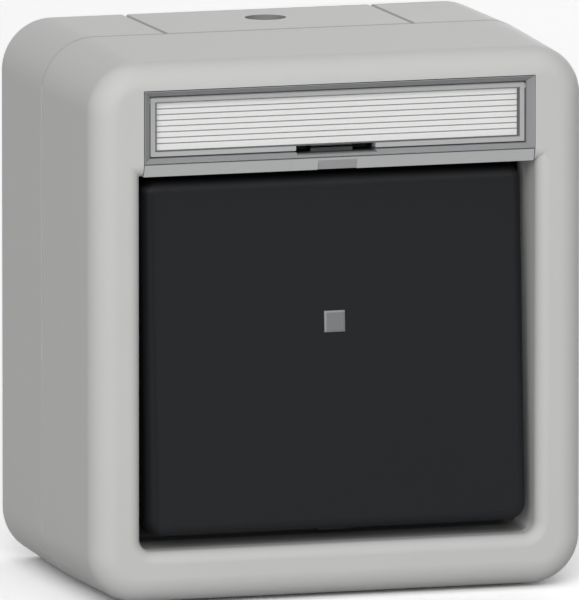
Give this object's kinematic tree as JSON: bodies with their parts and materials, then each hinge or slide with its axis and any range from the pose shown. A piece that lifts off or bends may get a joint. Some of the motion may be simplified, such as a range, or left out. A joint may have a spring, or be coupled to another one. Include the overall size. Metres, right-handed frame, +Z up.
{
  "type": "rocker push button switch",
  "caption": "Surface-mounted grey push-button switch with a dark rocker, a centre lens and an inscription field under a clear window.",
  "frame": {"origin": "centre of the back face that lies on the wall", "axes": "+Y into the wall, +Z up, +X to the right seen from the front; the front looks along -Y"},
  "size_m": [0.066, 0.0424, 0.0702],
  "materials": {
    "housing_grey": "fine moulded texture, light grey",
    "rocker_anthracite": "satin moulded, anthracite",
    "carrier_grey": "moulded, mid grey",
    "insert_black": "moulded, black",
    "lens_grey": "polished, unlit",
    "window_clear": "clear polished plastic",
    "guide_clear": "clear polished plastic",
    "lamp_clear": "small clear lamp body",
    "strip_white": "white, ruled",
    "seal_rubber": "soft, matt",
    "plated_steel": "zinc plated",
    "spring_steel": "drawn wire",
    "contact_brass": "stamped strip"
  },
  "bodies": {
    "housing": {"base_housing": "housing_grey", "cover_housing": "housing_grey", "cable_entry_top": "housing_grey", "cable_entry_bottom": "housing_grey", "label_frame": "housing_grey", "return_spring": "spring_steel", "plunger_seal": "seal_rubber", "housing_gasket": "seal_rubber", "light_guide": "guide_clear", "indicator_lamp": "lamp_clear", "insert_body": "insert_black", "insert_top": "insert_black", "support_plate": "plated_steel", "switch_contacts": "contact_brass", "lamp_contacts": "contact_brass", "terminal_clamps": "plated_steel", "cover_screws": "plated_steel", "insert_screws": "plated_steel", "terminal_screws": "plated_steel"},
    "rocker": {"rocker": "rocker_anthracite", "indicator_lens": "lens_grey", "rocker_carrier": "carrier_grey", "rocker_pins": "plated_steel"},
    "plunger": {"plunger": "carrier_grey", "contact_bridge": "contact_brass"},
    "label_window": {"label_window": "window_clear", "label_strip": "strip_white"}
  },
  "joints": [
    {"name": "rocker_press", "type": "hinge", "parent": "housing", "child": "rocker", "pos_m": [0, -0.03345, -0.00015], "axis": [1, 0, 0], "range_deg": [0, 7], "stiffness_Nm_per_rad": 0.2, "springref_deg": -6.88},
    {"name": "plunger_slide", "type": "slide", "parent": "housing", "child": "plunger", "axis": [0, 1, 0], "range_m": [0, 0.00157], "deforming": ["return_spring"]},
    {"name": "window_hinge", "type": "hinge", "parent": "housing", "child": "label_window", "pos_m": [0, -0.04075, 0.02968], "axis": [-1, 0, 0], "range_deg": [0, 75]}
  ],
  "couplings": [
    {"joint": "plunger_slide", "follows": "rocker_press", "m_per_rad": 0.01284}
  ]
}
